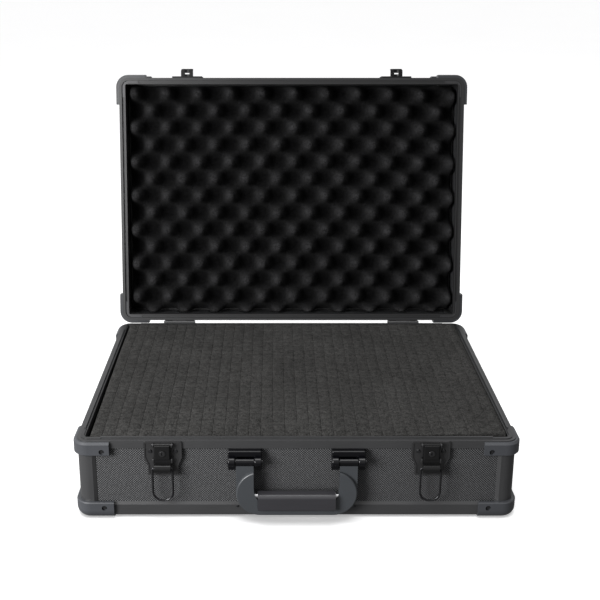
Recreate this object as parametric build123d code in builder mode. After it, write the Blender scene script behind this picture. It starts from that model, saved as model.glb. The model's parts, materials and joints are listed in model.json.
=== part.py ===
"""Framed carrying case, open: foam-lined base and lid, two draw latches, handle, two hinges.

Frame: origin on the floor under the centre of the base, X to the right, Y to the back, Z up.
Every piece is modelled with the lid shut; the lid's pieces are then swung open when written.
"""

from build123d import *
import os

os.makedirs("parts", exist_ok=True)

# ---------------------------------------------------------------- driving dimensions (mm)
WIDTH = 460.0  # across the corner protectors
DEPTH = 330.0
HEIGHT = 150.0  # shut, feet to caps
BASE_RIM = 89.0  # floor to the base's rim
PARTING_GAP = 1.0
OPEN_ANGLE = 100.0

PROUD = 4.0  # corner protectors, beyond the frame
FOOT_DROP = 2.5  # feet and caps, beyond the frame
CORNER_R = 12.0  # frame's corners in plan

WALL = 2.5  # extrusion's outer flange
PANEL_T = 4.0
FLANGE_T = 1.7  # extrusion's inner flange
WEB = 4.5  # rim's solid part, from the parting face to the panel
RIM_FACE = 8.6
EDGE_FACE = 15.2
EDGE_LEDGE = 14.0  # bottom and top extrusions, inwards under the panel
EDGE_SKIN = 0.8  # extrusion below the bottom panel
EDGE_SEAT = 7.0  # frame's bottom to the side panel's lower edge
EDGE_HOOK = 6.0  # frame's bottom to the foam's ledge
FLAT_END = 9.0  # bottom and top panels stop here, inside the edges
FIELD_GAP = 0.3  # their flush field, clear of the ledges
EDGE_ROUND = 1.5
POST_FACE = 16.0
POST_EDGE = 19.3  # far side of the post's sloping margin
POST_EDGE_DEPTH = 2.1
POST_OVERLAP = 2.0  # post's slot, beyond the panel's end
POST_INNER = 14.0

TONGUE_IN, TONGUE_OUT, TONGUE_H = 4.6, 6.2, 2.2
GROOVE_IN, GROOVE_OUT, GROOVE_D = 3.4, 7.2, 2.8
JOINER_IN, JOINER_OUT, JOINER_LEG = 3.6, 7.0, 25.0
JOINER_T = 0.9

RIM_CORNER_LEG, RIM_CORNER_H, RIM_CORNER_DOWN = 38.5, 14.5, 1.0
FOOT_LEG, FOOT_H, FOOT_ROUND = 40.7, 19.4, 10.0
BEVEL = 2.0

RIVET_R, RIVET_HEAD_R, RIVET_HEAD_H = 1.5, 2.4, 1.2
RIVET_TAIL_R, RIVET_TAIL_H = 2.1, 0.9
RIVET_HOLE_R = 1.55
RIVET_TAPER = 30
SINK_R, SINK_SEAT = 2.8, 1.5  # counterbore in the protectors, and the wall left under it
RIVET_LINE = 11.0  # rivets below the rim
END_RIVET_LINE = 10.6  # rivets above the frame's bottom or below its top
RIVET_INSET = 26.8  # corner rivets, from the frame's side
STUD_X, STUD_Z, STUD_R, STUD_DEPTH = 61.2, 13.5, 0.9, 2.0  # studs on the base's front edge
STUD_HEAD_R, STUD_HEAD_H = 1.5, 0.9

FOAM_INSET = 10.0
FOAM_PAD_H = 10.0
LID_FOAM_DROP = 3.5  # foam's peaks inside the lid's rim

LATCH_X = 137.0
PLATE_T = 1.2
PLATE_BORDER_W, PLATE_BORDER_H, PLATE_CORNER_R = 1.7, 0.8, 1.5
PLATE_HALF_W, PLATE_NARROW, PLATE_LOW = 19.5, 15.7, 51.0
PLATE_TAPER_TOP, PLATE_TAPER_LOW = 71.0, 62.0
LATCH_RIVET_X = 13.0
LEVER_PIN_Y, LEVER_PIN_Z, LEVER_PIN_R = -165.0, 86.2, 1.05
LEVER_ROLL_R, LEVER_HALF_W, LEVER_T = 1.9, 8.5, 1.5
BARREL_Y, BARREL_Z, BARREL_R, BARREL_HALF_W = -169.0, 62.1, 4.35, 8.6
EAR_IN, EAR_OUT, EAR_REACH = 8.9, 10.1, -166.8
GUIDE_Z, GUIDE_H = 69.0, 5.0  # lower guides beside the lever
PIN_HEAD_R, PIN_HEAD_T = 1.7, 0.8
FLAP_HALF_W, FLAP_LOW, FLAP_HIGH = 7.7, 71.5, 87.0  # raised cover on the lever
FLAP_PROUD, FLAP_ROUND = 2.0, 0.7
LOCK_Z, LOCK_R, LOCK_BOSS_R, LOCK_BOSS_H, LOCK_PROUD = 78.5, 3.1, 4.0, 0.4, 0.25
CAM_GAP, CAM_T, CAM_W, CAM_REACH, CAM_ROUND = 0.2, 1.0, 5.0, 7.5, 1.6
KEYWAY_W, KEYWAY_H, KEYWAY_D = 0.9, 3.8, 1.4
WIRE_R, LOOP_HALF_W, LOOP_LEG = 1.1, 10.3, 26.6
WIRE_IN, WIRE_SOCKET = 5.0, 3.7  # loop's ends inside the barrel
BOW_FLAT = 0.4  # half the flat left at the loop's tip
CATCH_H = 26.0
ARCH_R, ARCH_T, ARCH_OUT, ARCH_LIFT = 8.8, 4.0, 9.0, 2.5
LIP_W, LIP_H, LIP_R, LIP_T = 15.0, 10.0, 3.0, 1.5
WINDOW_W, WINDOW_H = 6.0, 1.8
FIT = 0.05  # running clearance on the radius

HANDLE_X = 53.0  # handle's arms and brackets
HANDLE_Y, HANDLE_Z = -169.0, 69.5  # handle's swing axis
HANDLE_PIN_R = 1.55
BRACKET_W, BRACKET_LOW, BRACKET_HIGH = 34.5, 57.0, 80.2
BRACKET_T, BAR_H, BAR_OUT = 1.5, 7.0, 8.5
FOOT_TAB_H, FOOT_TAB_OUT = 8.0, 4.5
KNUCKLE_W, KNUCKLE_R, KNUCKLE_ROUND = 7.5, 4.7, 1.2
HANDLE_PIN_HEAD_R = 2.6
ARM_W, ARM_T, ARM_BARREL_W, ARM_BARREL_R = 18.0, 5.0, 18.3, 3.5
HANDLE_HALF_W, HANDLE_LOW, HANDLE_DISC_R, HANDLE_T = 62.0, 11.0, 25.0, 8.5
GRIP_HALF_W, GRIP_LOW, GRIP_HIGH = 39.7, 19.2, 37.0
GRIP_FRONT, GRIP_BACK = -180.5, -167.0
GRIP_TOP_R, GRIP_LOW_R = 4.0, 2.0
GRIP_GAP = 0.3  # grip's ends to the frame
RAIL_TOP, HANDLE_ROUND, OPENING_R = 19.0, 1.6, 23.0
ROD_R, ROD_Y, ROD_Z, ROD_SEAT = 2.4, -172.0, 32.4, 4.0

HINGE_X = 150.0
HINGE_W = 40.0
HINGE_KNUCKLE_W = 18.0  # lid's middle knuckle
KNUCKLE_GAP = 0.3
HINGE_DROP = 1.0  # pins below the parting line
HINGE_R, HINGE_PIN_R, HINGE_LEAF_T, HINGE_LEAF_H = 2.9, 1.3, 1.4, 27.0
HINGE_RIVET_X = 12.0

# ---------------------------------------------------------------- worked-out places
FRAME_X = WIDTH / 2 - PROUD
FRAME_Y = DEPTH / 2 - PROUD
INNER = WALL + PANEL_T + FLANGE_T  # frame's outside to its inside
PANEL_END = WALL + PANEL_T + POST_OVERLAP  # side panels stop here, inside the posts
FIELD_INSET = EDGE_LEDGE + FIELD_GAP
LID_RIM = BASE_RIM + PARTING_GAP
HINGE_Y = FRAME_Y + HINGE_R + KNUCKLE_GAP
HINGE_Z = BASE_RIM + PARTING_GAP / 2 - HINGE_DROP
HINGE_AXIS = Axis((0, HINGE_Y, HINGE_Z), (1, 0, 0))

SIDES = {
    "front": Vector(0, -1, 0),
    "back": Vector(0, 1, 0),
    "left": Vector(-1, 0, 0),
    "right": Vector(1, 0, 0),
}
PLATE_RIVETS = {"front": (LATCH_X, LATCH_RIVET_X), "back": (HINGE_X, HINGE_RIVET_X)}
# Each half: its rim, the far end of its frame, and the way from the rim to that end.
HALVES = {
    "base": (BASE_RIM, FOOT_DROP, -1),
    "lid": (LID_RIM, HEIGHT - FOOT_DROP, 1),
}
LID_PIECES = ("lid", "latch_catch", "hinge_lid")  # how the names of the lid's nodes begin


def write(piece, name):
    """Label a finished piece and write it; the lid's pieces are swung open first."""
    solid = piece.part
    if name.startswith(LID_PIECES):
        solid = solid.rotate(HINGE_AXIS, -OPEN_ANGLE)
    solid.label = name
    export_step(solid, f"parts/{name}.step")


def reach(outward):
    """Distance from the centre to a side's outer face."""
    return FRAME_Y if outward.Y else FRAME_X


def half_run(outward):
    """Half the length of a side."""
    return FRAME_X if outward.Y else FRAME_Y


def section_plane(outward, z, up):
    """Plane across a side: x inwards from its outer face, y along up."""
    inward = -outward
    origin = outward * reach(outward) + Vector(0, 0, z)
    return Plane(origin, x_dir=inward, z_dir=inward.cross(Vector(0, 0, up)))


def face_plane(outward, inset=0.0):
    """Plane on a side's outer face, or inset from it: y is height, z is outwards."""
    origin = outward * (reach(outward) - inset)
    return Plane(origin, x_dir=Vector(0, 0, 1).cross(outward), z_dir=outward)


def mitre_outline(outward):
    """A side's share of the footprint, cut at 45 degrees at both ends."""
    ridge = FRAME_X - FRAME_Y
    if outward.Y:
        y = outward.Y * FRAME_Y
        return [(-FRAME_X, y), (FRAME_X, y), (ridge, 0), (-ridge, 0)]
    x = outward.X * FRAME_X
    return [(x, -FRAME_Y), (x, FRAME_Y), (outward.X * ridge, 0)]


def rim_rivets(side, half):
    """Places (along the side, height) of the rivets through the rim's corner protectors."""
    rim, _, way = HALVES[half]
    along = half_run(SIDES[side]) - RIVET_INSET
    return [(s * along, rim + way * RIVET_LINE) for s in (-1, 1)]


def end_rivets(side, half):
    """Places of the rivets through the feet or caps."""
    _, end, way = HALVES[half]
    along = half_run(SIDES[side]) - RIVET_INSET
    return [(s * along, end - way * END_RIVET_LINE) for s in (-1, 1)]


def plate_rivets(side, half):
    """Places of the rivets through the latch plates in front and the hinge leaves behind."""
    rim, _, way = HALVES[half]
    middle, spread = PLATE_RIVETS[side]
    height = rim + way * RIVET_LINE
    return [(c * middle + s * spread, height) for c in (-1, 1) for s in (-1, 1)]


# ---------------------------------------------------------------- aluminium frame
def frame_envelope():
    """The whole frame's outside: rounded in plan, its lowest and highest edges bevelled."""
    with BuildPart() as envelope:
        with BuildSketch(Plane.XY.offset(FOOT_DROP)):
            RectangleRounded(2 * FRAME_X, 2 * FRAME_Y, CORNER_R)
        extrude(amount=HEIGHT - 2 * FOOT_DROP)
        chamfer(envelope.faces().sort_by(Axis.Z)[0].edges(), EDGE_ROUND)
        chamfer(envelope.faces().sort_by(Axis.Z)[-1].edges(), EDGE_ROUND)
    return envelope.part


ENVELOPE = frame_envelope()


def extrusion(outward, z, up, outline):
    """A mitred bar of the given section along one side, cut to the frame's envelope."""
    with BuildPart() as bar:
        with BuildSketch(section_plane(outward, z, up)):
            with BuildLine():
                Polyline(*outline, close=True)
            make_face()
        extrude(amount=half_run(outward), both=True)
        with BuildSketch(Plane.XY):
            with BuildLine():
                Polyline(*mitre_outline(outward), close=True)
            make_face()
        extrude(amount=HEIGHT, mode=Mode.INTERSECT)
        add(ENVELOPE, mode=Mode.INTERSECT)
    return bar


RIM_SECTION = [
    (0, 0),
    (INNER, 0),
    (INNER, RIM_FACE),
    (WALL + PANEL_T, RIM_FACE),
    (WALL + PANEL_T, WEB),
    (WALL, WEB),
    (WALL, RIM_FACE),
    (0, RIM_FACE),
]

EDGE_SECTION = [
    (0, 0),
    (EDGE_LEDGE, 0),
    (EDGE_LEDGE, EDGE_SKIN),
    (FLAT_END, EDGE_SKIN),
    (FLAT_END, EDGE_SKIN + PANEL_T),
    (EDGE_LEDGE, EDGE_SKIN + PANEL_T),
    (EDGE_LEDGE, EDGE_HOOK),
    (INNER, EDGE_HOOK),
    (INNER, EDGE_FACE),
    (WALL + PANEL_T, EDGE_FACE),
    (WALL + PANEL_T, EDGE_SEAT),
    (WALL, EDGE_SEAT),
    (WALL, EDGE_FACE),
    (0, EDGE_FACE - WALL),
]


def rim_band(inner_inset, outer_inset):
    """Band round the footprint between two insets, for the rim's groove and joiners."""
    with BuildSketch() as band:
        RectangleRounded(
            2 * (FRAME_X - outer_inset), 2 * (FRAME_Y - outer_inset), CORNER_R - outer_inset
        )
        RectangleRounded(
            2 * (FRAME_X - inner_inset),
            2 * (FRAME_Y - inner_inset),
            CORNER_R - inner_inset,
            mode=Mode.SUBTRACT,
        )
    return band.sketch


def base_rim(side):
    """Upper extrusion of the base, with the tongue that closes into the lid's groove."""
    outward = SIDES[side]
    bar = extrusion(outward, BASE_RIM, -1, RIM_SECTION)
    length = 2 * (half_run(outward) - JOINER_LEG)
    with BuildPart() as rim:
        add(bar.part)
        with BuildSketch(section_plane(outward, BASE_RIM, 1)):
            with Locations(((TONGUE_IN + TONGUE_OUT) / 2, TONGUE_H / 2)):
                Rectangle(TONGUE_OUT - TONGUE_IN, TONGUE_H)
        extrude(amount=length / 2, both=True)
    write(rim, f"base_rim_{side}")


def lid_rim(side):
    """Lower extrusion of the lid, grooved for the base's tongue."""
    bar = extrusion(SIDES[side], LID_RIM, 1, RIM_SECTION)
    groove = rim_band(GROOVE_OUT, GROOVE_IN)
    with BuildPart() as rim:
        add(bar.part)
        with BuildSketch(Plane.XY.offset(LID_RIM)):
            add(groove)
        extrude(amount=GROOVE_D, mode=Mode.SUBTRACT)
    write(rim, f"lid_rim_{side}")


def front_studs():
    """Two small studs pressed into the base's front edge, beside the handle."""
    face = face_plane(SIDES["front"])
    places = ((-STUD_X, STUD_Z), (STUD_X, STUD_Z))
    with BuildPart() as studs:
        with BuildSketch(face):
            with Locations(*places):
                Circle(STUD_R)
        extrude(amount=-STUD_DEPTH)
        with BuildSketch(face):
            with Locations(*places):
                Circle(STUD_HEAD_R)
        extrude(amount=STUD_HEAD_H, taper=RIVET_TAPER)
    return studs.part


def edge(side, half):
    """Bottom or top extrusion, drilled for the corner rivets and the front studs."""
    _, end, way = HALVES[half]
    outward = SIDES[side]
    bar = extrusion(outward, end, -way, EDGE_SECTION)
    with BuildPart() as piece:
        add(bar.part)
        with BuildSketch(face_plane(outward)):
            with Locations(*end_rivets(side, half)):
                Circle(RIVET_HOLE_R)
        extrude(amount=-INNER, mode=Mode.SUBTRACT)
        if (side, half) == ("front", "base"):
            add(front_studs(), mode=Mode.SUBTRACT)
    write(piece, f"{half}_edge_{side}")


def corner_posts(half):
    """Four upright corner extrusions, slotted for the side panels."""
    rim, end, way = HALVES[half]
    low, high = sorted((rim + way * RIM_FACE, end - way * EDGE_FACE))
    slot_in, slot_out = WALL, WALL + PANEL_T
    outline = [
        (0, 0),
        (POST_FACE, 0),
        (POST_EDGE, POST_EDGE_DEPTH),
        (POST_EDGE, slot_in),
        (PANEL_END, slot_in),
        (PANEL_END, slot_out),
        (POST_INNER, slot_out),
        (POST_INNER, INNER),
        (INNER, INNER),
    ]
    mirrored = [(y, x) for x, y in reversed(outline[1:-1])]
    with BuildPart() as posts:
        with BuildSketch(Plane((-FRAME_X, -FRAME_Y, low))):
            with BuildLine():
                Polyline(*outline, *mirrored, close=True)
            make_face()
        extrude(amount=high - low)
        mirror(about=Plane.YZ)
        mirror(about=Plane.XZ)
        add(ENVELOPE, mode=Mode.INTERSECT)
    write(posts, f"{half}_corner_posts")


# ---------------------------------------------------------------- panels
def panel_rivets(side, half):
    """Every rivet that passes through a side panel."""
    places = rim_rivets(side, half) + end_rivets(side, half)
    return places + (plate_rivets(side, half) if side in PLATE_RIVETS else [])


def side_panel(side, half):
    """Textured wall board that slides into the posts and extrusions."""
    rim, end, way = HALVES[half]
    outward = SIDES[side]
    low, high = sorted((rim + way * WEB, end - way * EDGE_SEAT))
    with BuildPart() as panel:
        with BuildSketch(face_plane(outward, WALL)):
            with Locations((0, (low + high) / 2)):
                Rectangle(2 * (half_run(outward) - PANEL_END), high - low)
            with Locations(*panel_rivets(side, half)):
                Circle(RIVET_HOLE_R, mode=Mode.SUBTRACT)
        extrude(amount=-PANEL_T)
    write(panel, f"{half}_{side}_panel")


def flat_panel(half, name):
    """Bottom or top board, held in the edge extrusions, its field flush with their outside."""
    _, end, way = HALVES[half]
    with BuildPart() as panel:
        with BuildSketch(Plane.XY.offset(end)):
            Rectangle(2 * (FRAME_X - FIELD_INSET), 2 * (FRAME_Y - FIELD_INSET))
        extrude(amount=-way * (EDGE_SKIN + PANEL_T))
        with BuildSketch(Plane.XY.offset(end - way * EDGE_SKIN)):
            Rectangle(2 * (FRAME_X - FLAT_END), 2 * (FRAME_Y - FLAT_END))
        extrude(amount=-way * PANEL_T)
    write(panel, name)


# ---------------------------------------------------------------- corner pieces
def corner_squares(width, depth, leg):
    """Squares of the given leg over the four corners of a rectangle."""
    with BuildSketch() as squares:
        with GridLocations(width - leg, depth - leg, 2, 2):
            Rectangle(leg, leg)
    return squares.sketch


def sunk_holes(places):
    """Cutter for counterbored rivet holes through a protector, on all four sides."""
    with BuildPart() as cutter:
        for side, outward in SIDES.items():
            with BuildSketch(face_plane(outward, -SINK_SEAT)):
                with Locations(*places(side)):
                    Circle(SINK_R)
            extrude(amount=2 * PROUD)
            with BuildSketch(face_plane(outward)):
                with Locations(*places(side)):
                    Circle(RIVET_HOLE_R)
            extrude(amount=SINK_SEAT)
    return cutter.part


def rim_corners(half):
    """Moulded corner protectors beside the rim."""
    rim, _, way = HALVES[half]
    near = rim + way * RIM_CORNER_DOWN
    with BuildPart() as corners:
        with BuildSketch(Plane.XY.offset(near)):
            RectangleRounded(WIDTH, DEPTH, CORNER_R + PROUD)
        extrude(amount=way * RIM_CORNER_H)
        chamfer(corners.faces().sort_by(Axis.Z)[0].edges(), BEVEL / 2)
        chamfer(corners.faces().sort_by(Axis.Z)[-1].edges(), BEVEL)
        add(ENVELOPE, mode=Mode.SUBTRACT)
        with BuildSketch(Plane.XY.offset(near)):
            add(corner_squares(WIDTH, DEPTH, RIM_CORNER_LEG))
        extrude(amount=way * RIM_CORNER_H, mode=Mode.INTERSECT)
        add(sunk_holes(lambda side: rim_rivets(side, half)), mode=Mode.SUBTRACT)
    write(corners, f"{half}_rim_corners")


def end_corners(half, name):
    """Ball corners: feet under the base, caps on the lid."""
    _, end, way = HALVES[half]
    outer = end + way * FOOT_DROP
    with BuildPart() as corners:
        with BuildSketch(Plane.XY.offset(outer)):
            RectangleRounded(WIDTH, DEPTH, CORNER_R + PROUD)
        extrude(amount=-way * FOOT_H)
        outwards = Axis((0, 0, 0), (0, 0, way))
        chamfer(corners.faces().sort_by(outwards)[0].edges(), BEVEL / 2)
        fillet(corners.faces().sort_by(outwards)[-1].edges(), FOOT_ROUND)
        with BuildSketch(Plane.XY.offset(outer)):
            Rectangle(2 * (FRAME_X - EDGE_LEDGE), 2 * (FRAME_Y - EDGE_LEDGE))
        extrude(amount=-way * FOOT_H, mode=Mode.SUBTRACT)
        add(ENVELOPE, mode=Mode.SUBTRACT)
        with BuildSketch(Plane.XY.offset(outer)):
            add(corner_squares(WIDTH, DEPTH, FOOT_LEG))
        extrude(amount=-way * FOOT_H, mode=Mode.INTERSECT)
        add(sunk_holes(lambda side: end_rivets(side, half)), mode=Mode.SUBTRACT)
    write(corners, name)


def rim_joiners(half):
    """Flat L-shaped keys that tie the mitred rims: on the base's rim, in the lid's groove."""
    seat, height = (LID_RIM + GROOVE_D, -JOINER_T) if half == "lid" else (BASE_RIM, JOINER_T)
    with BuildPart() as joiners:
        with BuildSketch(Plane.XY.offset(seat)):
            add(corner_squares(2 * FRAME_X, 2 * FRAME_Y, JOINER_LEG))
            add(rim_band(JOINER_OUT, JOINER_IN), mode=Mode.INTERSECT)
        extrude(amount=height)
    write(joiners, f"{half}_rim_joiners")


# ---------------------------------------------------------------- rivets
def rivet_row(outward, seat, grip, places):
    """Rivets through a side: head on the seat, shank, and a set tail past the grip."""
    with BuildPart() as row:
        with BuildSketch(face_plane(outward, -seat)):
            with Locations(*places):
                Circle(RIVET_HEAD_R)
        extrude(amount=RIVET_HEAD_H, taper=RIVET_TAPER)
        with BuildSketch(face_plane(outward, -seat)):
            with Locations(*places):
                Circle(RIVET_R)
        extrude(amount=-seat - grip)
        with BuildSketch(face_plane(outward, grip)):
            with Locations(*places):
                Circle(RIVET_TAIL_R)
        extrude(amount=-RIVET_TAIL_H)
    return row.part


def rivets(half):
    """All the rivets of one half: corner pieces, latch plates and hinge leaves."""
    board = WALL + PANEL_T
    with BuildPart() as group:
        for side, outward in SIDES.items():
            add(rivet_row(outward, SINK_SEAT, board, rim_rivets(side, half)))
            add(rivet_row(outward, SINK_SEAT, INNER, end_rivets(side, half)))
        add(rivet_row(SIDES["front"], PLATE_T, board, plate_rivets("front", half)))
        add(rivet_row(SIDES["back"], HINGE_LEAF_T, board, plate_rivets("back", half)))
        if half == "base":
            add(front_studs())
    write(group, f"{half}_rivets")


# ---------------------------------------------------------------- foam
def foam_block(name, low, high):
    """Plain block of foam that fills the shell between two heights."""
    with BuildPart() as foam:
        with BuildSketch(Plane.XY.offset(low)):
            Rectangle(2 * (FRAME_X - FOAM_INSET), 2 * (FRAME_Y - FOAM_INSET))
        extrude(amount=high - low)
    write(foam, name)


# ---------------------------------------------------------------- latches
def latch_face(x, stand=0.0):
    """Plane on the front of the frame, centred on one latch, standing out from it."""
    return Plane((x, -FRAME_Y - stand, 0), x_dir=(1, 0, 0), z_dir=(0, -1, 0))


def across(x):
    """Plane across the case at one x: its x is depth (Y), its y is height (Z)."""
    return Plane((x, 0, 0), x_dir=(0, 1, 0), z_dir=(1, 0, 0))


def bordered_plate(x, outline):
    """Pressed plate with rounded corners and a raised border."""
    with BuildPart() as plate:
        with BuildSketch(latch_face(x)) as flat:
            with BuildLine():
                Polyline(*outline, close=True)
            make_face()
            fillet(flat.vertices(), PLATE_CORNER_R)
        extrude(amount=PLATE_T + PLATE_BORDER_H)
        with BuildSketch(latch_face(x, PLATE_T)):
            with BuildLine():
                Polyline(*outline, close=True)
            make_face()
            offset(amount=-PLATE_BORDER_W, mode=Mode.REPLACE)
        extrude(amount=PLATE_BORDER_H, mode=Mode.SUBTRACT)
    return plate.part


def latch_plate(side, x):
    """Latch's back plate, with ears for the lever's pin and lower guides for its sides."""
    top, bottom = BASE_RIM - FIT, PLATE_LOW
    outline = [
        (-PLATE_HALF_W, top),
        (-PLATE_HALF_W, PLATE_TAPER_TOP),
        (-PLATE_NARROW, PLATE_TAPER_LOW),
        (-PLATE_NARROW, bottom),
        (PLATE_NARROW, bottom),
        (PLATE_NARROW, PLATE_TAPER_LOW),
        (PLATE_HALF_W, PLATE_TAPER_TOP),
        (PLATE_HALF_W, top),
    ]
    rivet_line = BASE_RIM - RIVET_LINE
    with BuildPart() as plate:
        add(bordered_plate(x, outline))
        with BuildSketch(latch_face(x)):
            with Locations((-LATCH_RIVET_X, rivet_line), (LATCH_RIVET_X, rivet_line)):
                Circle(RIVET_HOLE_R)
        extrude(amount=PLATE_T, mode=Mode.SUBTRACT)
        depth = -FRAME_Y - PLATE_T - EAR_REACH
        for ear_x in (x - EAR_OUT, x + EAR_IN):
            with BuildSketch(across(ear_x)):
                with Locations((EAR_REACH + depth / 2, LEVER_PIN_Z)):
                    RectangleRounded(depth + PLATE_CORNER_R, 2 * LEVER_ROLL_R, PLATE_CORNER_R)
                with Locations((EAR_REACH + depth / 2, GUIDE_Z)):
                    RectangleRounded(depth + PLATE_CORNER_R, GUIDE_H, PLATE_CORNER_R)
                with Locations((LEVER_PIN_Y, LEVER_PIN_Z)):
                    Circle(LEVER_PIN_R + FIT, mode=Mode.SUBTRACT)
            extrude(amount=EAR_OUT - EAR_IN)
    write(plate, f"latch_plate_{side}")


def latch_pins():
    """Pins of both levers, headed outside the ears."""
    with BuildPart() as pins:
        for x in (-LATCH_X, LATCH_X):
            with BuildSketch(across(x)):
                with Locations((LEVER_PIN_Y, LEVER_PIN_Z)):
                    Circle(LEVER_PIN_R)
            extrude(amount=EAR_OUT, both=True)
            for head_x, way in ((x + EAR_OUT, 1), (x - EAR_OUT, -1)):
                with BuildSketch(across(head_x)):
                    with Locations((LEVER_PIN_Y, LEVER_PIN_Z)):
                        Circle(PIN_HEAD_R)
                extrude(amount=way * PIN_HEAD_T)
    write(pins, "latch_pins")


def lever_flap(x, seat):
    """Raised cover on the lever's front, its outer edges eased."""
    with BuildPart() as flap:
        with BuildSketch(latch_face(x, seat)):
            with Locations((0, (FLAP_LOW + FLAP_HIGH) / 2)):
                Rectangle(2 * FLAP_HALF_W, FLAP_HIGH - FLAP_LOW)
        extrude(amount=FLAP_PROUD)
        fillet(flap.faces().sort_by(Axis.Y)[0].edges(), FLAP_ROUND)
    return flap.part


def latch_lever(side, x):
    """Lever: rolled over its pin on top, cover and lock boss in the middle, barrel below."""
    front, back = LEVER_PIN_Y - LEVER_ROLL_R, LEVER_PIN_Y - LEVER_ROLL_R + LEVER_T
    with BuildPart() as lever:
        with BuildSketch(across(x)):
            with Locations(((front + back) / 2, (LEVER_PIN_Z + BARREL_Z) / 2)):
                Rectangle(LEVER_T, LEVER_PIN_Z - BARREL_Z)
            with Locations((LEVER_PIN_Y, LEVER_PIN_Z)):
                Circle(LEVER_ROLL_R)
            with Locations((BARREL_Y, BARREL_Z)):
                Circle(BARREL_R)
            with Locations((LEVER_PIN_Y, LEVER_PIN_Z)):
                Circle(LEVER_PIN_R + FIT, mode=Mode.SUBTRACT)
        extrude(amount=LEVER_HALF_W, both=True)
        for end_x, way in ((x + BARREL_HALF_W, -1), (x - BARREL_HALF_W, 1)):
            with BuildSketch(across(end_x)):
                with Locations((BARREL_Y, BARREL_Z)):
                    Circle(WIRE_R + FIT)
            extrude(amount=way * WIRE_SOCKET, mode=Mode.SUBTRACT)
        add(lever_flap(x, -FRAME_Y - front))
        with BuildSketch(latch_face(x, -FRAME_Y - front + FLAP_PROUD)):
            with Locations((0, LOCK_Z)):
                Circle(LOCK_BOSS_R)
        extrude(amount=LOCK_BOSS_H)
        with BuildSketch(latch_face(x, -FRAME_Y - back)):
            with Locations((0, LOCK_Z)):
                Circle(LOCK_R + FIT)
        extrude(amount=LEVER_T + FLAP_PROUD + LOCK_BOSS_H, mode=Mode.SUBTRACT)
    write(lever, f"latch_lever_{side}")


def lock_plug(side, x):
    """Key plug with a keyway in its face and a locking tongue behind the lever."""
    lever_back = -FRAME_Y - (LEVER_PIN_Y - LEVER_ROLL_R + LEVER_T)
    tongue_back = lever_back - CAM_GAP - CAM_T
    face = lever_back + LEVER_T + FLAP_PROUD + LOCK_BOSS_H + LOCK_PROUD
    with BuildPart() as plug:
        with BuildSketch(latch_face(x, tongue_back)):
            with Locations((0, LOCK_Z)):
                Circle(LOCK_R)
        extrude(amount=face - tongue_back)
        chamfer(plug.edges().sort_by(Axis.Y)[0], LOCK_PROUD)
        with BuildSketch(latch_face(x, tongue_back)):
            with Locations((0, LOCK_Z - CAM_REACH / 2)):
                RectangleRounded(CAM_W, CAM_REACH, CAM_ROUND)
        extrude(amount=CAM_T)
        with BuildSketch(latch_face(x, face)):
            with Locations((0, LOCK_Z)):
                SlotOverall(KEYWAY_H, KEYWAY_W, rotation=90)
                Circle(KEYWAY_W)
        extrude(amount=-KEYWAY_D, mode=Mode.SUBTRACT)
    write(plug, f"lock_plug_{side}")


def latch_loop(side, x):
    """Wire loop that hangs from the lever's barrel and pulls the lid's catch down."""
    bend = LOOP_HALF_W - BARREL_HALF_W
    bow = LOOP_HALF_W - BOW_FLAT
    tip = -LOOP_LEG - LOOP_HALF_W
    corners = [
        (WIRE_IN, 0),
        (LOOP_HALF_W, 0),
        (LOOP_HALF_W, tip),
        (-LOOP_HALF_W, tip),
        (-LOOP_HALF_W, 0),
        (-WIRE_IN, 0),
    ]
    with BuildPart() as loop:
        with BuildLine(Plane((x, BARREL_Y, BARREL_Z), x_dir=(1, 0, 0), z_dir=(0, -1, 0))):
            FilletPolyline(*corners, radius=[bend, bow, bow, bend])
        with BuildSketch(Plane((x + WIRE_IN, BARREL_Y, BARREL_Z), z_dir=(1, 0, 0))):
            Circle(WIRE_R)
        sweep()
    write(loop, f"latch_loop_{side}")


def latch_catch(side, x):
    """Lid's catch: riveted plate, arched hook for the wire loop, and a retaining lip."""
    top, bottom = LID_RIM + CATCH_H, LID_RIM + FIT
    outline = [
        (-PLATE_HALF_W, top),
        (-PLATE_HALF_W, bottom),
        (PLATE_HALF_W, bottom),
        (PLATE_HALF_W, top),
    ]
    arch_z = BARREL_Z + LOOP_LEG
    arch_low = LID_RIM + ARCH_LIFT
    rivet_line = LID_RIM + RIVET_LINE
    with BuildPart() as catch:
        add(bordered_plate(x, outline))
        with BuildSketch(latch_face(x)):
            with Locations((-LATCH_RIVET_X, rivet_line), (LATCH_RIVET_X, rivet_line)):
                Circle(RIVET_HOLE_R)
        extrude(amount=PLATE_T, mode=Mode.SUBTRACT)
        with BuildSketch(latch_face(x, PLATE_T)):
            with Locations((0, arch_z)):
                Circle(ARCH_R)
                Circle(ARCH_R - ARCH_T, mode=Mode.SUBTRACT)
            with Locations((0, arch_low + ARCH_R)):
                Rectangle(2 * ARCH_R, 2 * ARCH_R, mode=Mode.INTERSECT)
        extrude(amount=ARCH_OUT)
        with BuildSketch(latch_face(x, PLATE_T + ARCH_OUT)):
            with Locations((0, arch_low + LIP_H / 2)):
                RectangleRounded(LIP_W, LIP_H, LIP_R)
        extrude(amount=LIP_T)
        with BuildSketch(Plane.XY.offset(arch_z)):
            with Locations((x, -FRAME_Y - PLATE_T - ARCH_OUT / 2)):
                Rectangle(WINDOW_W, WINDOW_H)
        extrude(amount=2 * ARCH_R, mode=Mode.SUBTRACT)
    write(catch, f"latch_catch_{side}")


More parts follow.
